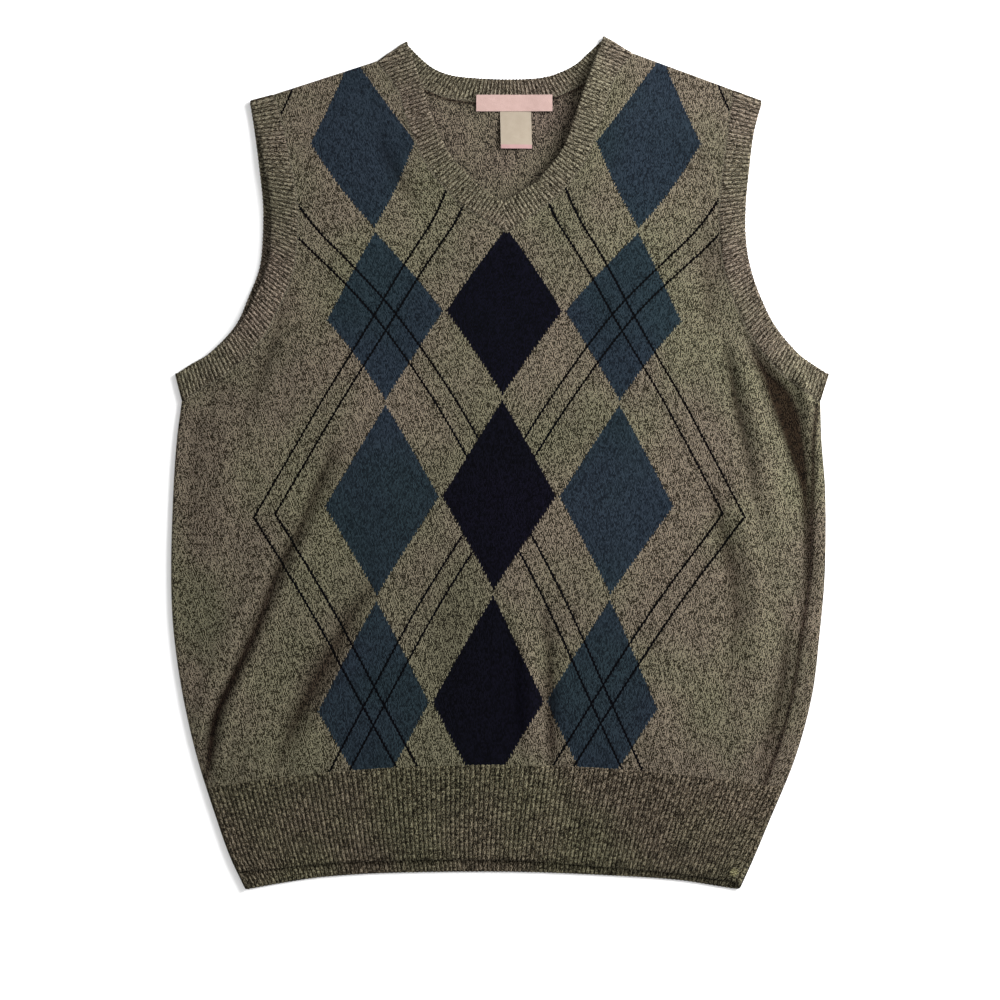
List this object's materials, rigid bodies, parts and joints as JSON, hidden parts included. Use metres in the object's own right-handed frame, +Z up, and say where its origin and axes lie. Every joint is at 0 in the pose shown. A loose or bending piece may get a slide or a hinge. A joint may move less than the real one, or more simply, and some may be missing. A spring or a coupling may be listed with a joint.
{
  "type": "knitted sweater vest",
  "caption": "Men's sleeveless V-neck sweater vest in fine marl knit with an argyle front and ribbed bands, laid flat with the front up.",
  "frame": {"origin": "middle of the vest's bounding box, on the surface that it lies on", "axes": "+Y from the hem to the neck, +Z up through the front, +X to the right as seen from above"},
  "size_m": [0.5262, 0.6816, 0.0115],
  "materials": {
    "argyle_knit": "matte fine knit, marl ground with argyle diamonds",
    "marl_knit": "matte fine marl knit",
    "rib_knit": "matte one by one marl rib",
    "label_satin": "satin woven tape",
    "care_tape": "smooth printed tape, left bare"
  },
  "bodies": {
    "root": {"front_panel": "argyle_knit", "back_panel": "marl_knit", "neckband_front_left": "rib_knit", "neckband_front_right": "rib_knit", "neckband_back": "rib_knit", "armband_left_front": "rib_knit", "armband_left_back": "rib_knit", "armband_right_front": "rib_knit", "armband_right_back": "rib_knit", "hem_rib_front": "rib_knit", "hem_rib_back": "rib_knit", "neck_label": "label_satin", "care_tab": "care_tape"}
  },
  "joints": []
}
